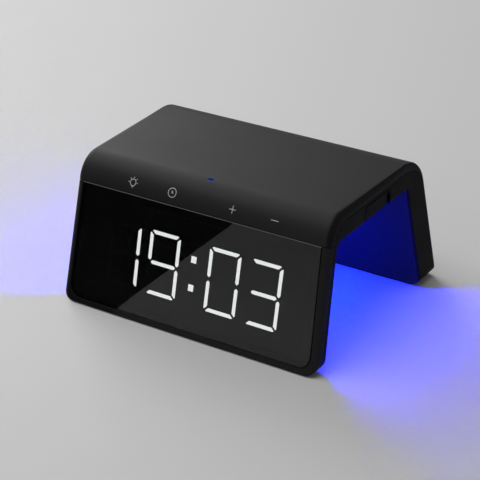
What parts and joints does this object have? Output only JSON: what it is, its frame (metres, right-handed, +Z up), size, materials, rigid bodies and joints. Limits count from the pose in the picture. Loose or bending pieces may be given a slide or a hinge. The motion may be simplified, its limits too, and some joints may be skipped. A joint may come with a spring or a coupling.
{
  "type": "charging station clock",
  "caption": "Bridge-shaped bedside clock: lit segment display on the leaning front, wireless charging deck on top, night lamp under the arch, slide-out coin cell tray.",
  "frame": {"origin": "on the table, in the middle of the object's outline: the bottoms of the feet lie at z = 0", "axes": "+X to the right as the display is read, +Y to the rear away from the reader, +Z up; the display faces -Y"},
  "size_m": [0.1624, 0.1301, 0.0803],
  "materials": {
    "cover": "soft-touch paint on moulded plastic",
    "housing": "finely textured, moulded",
    "bezel": "satin, moulded",
    "panel": "finely textured, moulded",
    "window": "smoked acrylic, polished",
    "mask": "dead matt black",
    "diffuser": "milky, translucent",
    "lamp_lens": "milky, lit blue",
    "light_pipe": "clear, lit blue",
    "board": "green solder mask",
    "white_board": "white solder mask",
    "film": "amber film with copper pads",
    "cable": "flat white cable",
    "copper": "enamelled copper wire",
    "ferrite": "dark grey, sintered",
    "inner_plastic": "moulded, plain",
    "steel": "nickel plated",
    "rubber": "matt black"
  },
  "bodies": {
    "clock": {"top_cover": "cover", "front_bezel": "bezel", "display_window": "window", "arch_housing": "housing", "rear_panel": "panel", "deck_frame": "inner_plastic", "board_frame": "inner_plastic", "battery_cradle": "inner_plastic", "battery_contact_top": "steel", "battery_contact_bottom": "steel", "segment_mask": "mask", "segment_diffuser": "diffuser", "display_board": "board", "display_ribbon": "cable", "touch_film": "film", "charge_light_pipe": "light_pipe", "indicator_board": "board", "charging_coil": "copper", "coil_ferrite": "ferrite", "coil_carrier": "inner_plastic", "charger_board": "board", "lamp_lens": "lamp_lens", "lamp_board": "white_board", "main_board": "board", "usb_c_inlet": "steel", "piezo_buzzer": "mask", "foot_front_left": "rubber", "foot_front_right": "rubber", "foot_rear_left": "rubber", "foot_rear_right": "rubber", "cover_screw_1": "steel", "cover_screw_2": "steel", "cover_screw_3": "steel", "cover_screw_4": "steel", "rear_panel_screw_1": "steel", "rear_panel_screw_2": "steel", "rear_panel_screw_3": "steel", "rear_panel_screw_4": "steel", "board_screw_1": "steel", "board_screw_2": "steel", "board_screw_3": "steel", "board_screw_4": "steel", "coil_screw_1": "steel", "coil_screw_2": "steel", "coil_screw_3": "steel", "coil_screw_4": "steel", "charger_screw_1": "steel", "charger_screw_2": "steel"},
    "battery_tray": {"battery_tray": "housing", "coin_cell": "steel"}
  },
  "joints": [
    {"name": "tray_slide", "type": "slide", "parent": "clock", "child": "battery_tray", "axis": [1, 0, 0], "range_m": [0, 0.024]}
  ]
}
